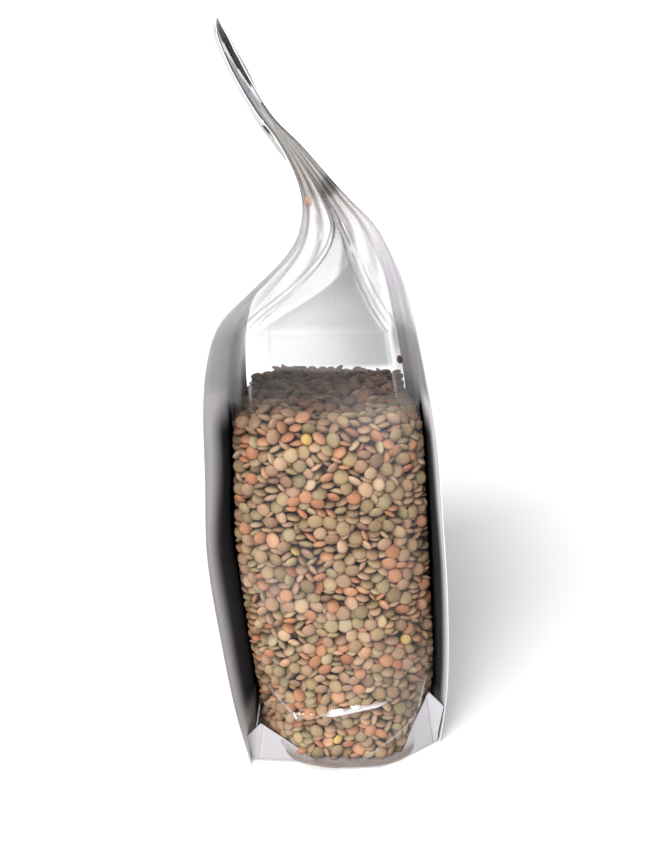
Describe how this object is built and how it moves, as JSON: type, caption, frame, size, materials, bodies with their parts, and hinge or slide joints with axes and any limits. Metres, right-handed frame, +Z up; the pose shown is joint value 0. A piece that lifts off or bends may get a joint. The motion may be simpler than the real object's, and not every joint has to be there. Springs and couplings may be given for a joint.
{
  "type": "bag of lentils",
  "caption": "Upright flat-bottom bag with opaque front and back panels and clear folded side gussets, half full of dry brown lentils, with a flattened header leaning forwards.",
  "frame": {"origin": "on the floor, under the middle of the bag's box", "axes": "+Z up along the bag's height, +X from the front panel to the back panel, Y across the bag's width from one clear gusset to the other"},
  "size_m": [0.0996, 0.1058, 0.286],
  "materials": {
    "panel": "white printed film, satin",
    "base": "white film, satin, folded corners",
    "band": "pale grey closing band, satin",
    "lentils": "dry brown and green lentils, satin skins",
    "clear_film": "clear glossy film"
  },
  "bodies": {
    "root": {"front_panel": "panel", "back_panel": "panel", "bottom_panel": "base", "header_band": "band", "lentils": "lentils", "clear_gussets": "clear_film"}
  },
  "joints": []
}
